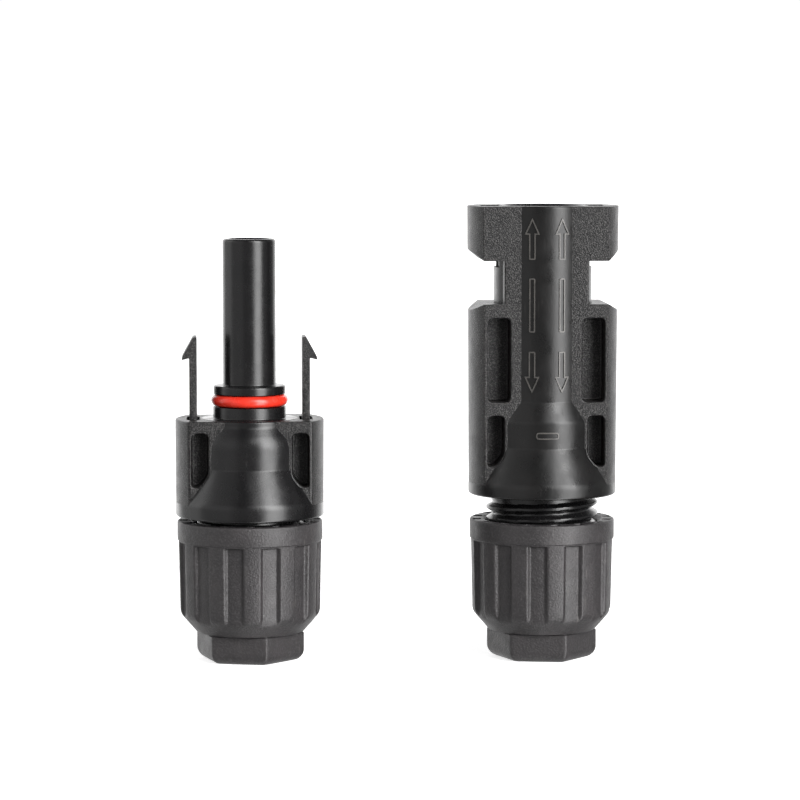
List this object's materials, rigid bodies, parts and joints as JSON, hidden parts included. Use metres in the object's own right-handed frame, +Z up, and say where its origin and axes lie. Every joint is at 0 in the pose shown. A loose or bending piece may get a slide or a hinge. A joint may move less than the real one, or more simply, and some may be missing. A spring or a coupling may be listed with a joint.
{
  "type": "solar cable connector",
  "caption": "Pair of single-pole photovoltaic cable connectors: a nosed socket half with snap latches and a sleeved pin half, each on a screwed cable gland.",
  "frame": {"origin": "on the table under the middle of the pair's box, both halves standing on their gland nuts", "axes": "+Z up along both halves' axes, +X from the socket half to the pin half, -Y out of the front flats"},
  "size_m": [0.058, 0.0194, 0.0595],
  "materials": {
    "housing_black": "moulded black PPO, finely grained flats and smooth ribs",
    "nut_grey": "moulded matte dark grey polyamide",
    "ring_red": "satin red silicone rubber",
    "seal_grey": "matte dark silicone rubber",
    "claw_black": "moulded black polyamide",
    "contact_tin": "tin-plated copper",
    "clip_steel": "stainless spring steel"
  },
  "bodies": {
    "pin_clamp": {"pin_clamp_claw": "claw_black", "pin_cable_seal": "seal_grey"},
    "pin_nut": {"pin_gland_nut": "nut_grey"},
    "pin_half": {"pin_housing": "housing_black", "pin_contact": "contact_tin", "pin_contact_clip": "clip_steel"},
    "socket_clamp": {"socket_clamp_claw": "claw_black", "socket_cable_seal": "seal_grey"},
    "socket_nut": {"socket_gland_nut": "nut_grey"},
    "socket_half": {"socket_housing": "housing_black", "socket_contact": "contact_tin", "socket_spring_band": "clip_steel", "socket_contact_clip": "clip_steel", "socket_sealing_ring": "ring_red"},
    "latch_left": {"socket_latch_left": "housing_black"},
    "latch_right": {"socket_latch_right": "housing_black"}
  },
  "joints": [
    {"name": "pin_nut_turn", "type": "hinge", "parent": "pin_clamp", "child": "pin_nut", "pos_m": [0.0191, 0, 0], "axis": [0, 0, 1], "range_deg": [-1080, 720]},
    {"name": "pin_half_rise", "type": "slide", "parent": "pin_clamp", "child": "pin_half", "axis": [0, 0, 1], "range_m": [-0.0031, 0.0046]},
    {"name": "socket_lift", "type": "slide", "parent": "pin_clamp", "child": "socket_clamp", "axis": [0, 0, 1], "range_m": [0, 0.03]},
    {"name": "socket_nut_turn", "type": "hinge", "parent": "socket_clamp", "child": "socket_nut", "pos_m": [-0.0193, 0, 0], "axis": [0, 0, 1], "range_deg": [-1620, 90]},
    {"name": "socket_half_rise", "type": "slide", "parent": "socket_clamp", "child": "socket_half", "axis": [0, 0, 1], "range_m": [-0.0005, 0.0069]},
    {"name": "latch_left_flex", "type": "hinge", "parent": "socket_half", "child": "latch_left", "pos_m": [-0.02615, 0, 0.0315], "axis": [0, 1, 0], "range_deg": [0, 8], "stiffness_Nm_per_rad": 0.3},
    {"name": "latch_right_flex", "type": "hinge", "parent": "socket_half", "child": "latch_right", "pos_m": [-0.01245, 0, 0.0315], "axis": [0, -1, 0], "range_deg": [0, 8], "stiffness_Nm_per_rad": 0.3}
  ],
  "couplings": [
    {"joint": "pin_half_rise", "follows": "pin_nut_turn", "m_per_rad": -0.00023873},
    {"joint": "socket_half_rise", "follows": "socket_nut_turn", "m_per_rad": -0.00023873}
  ]
}
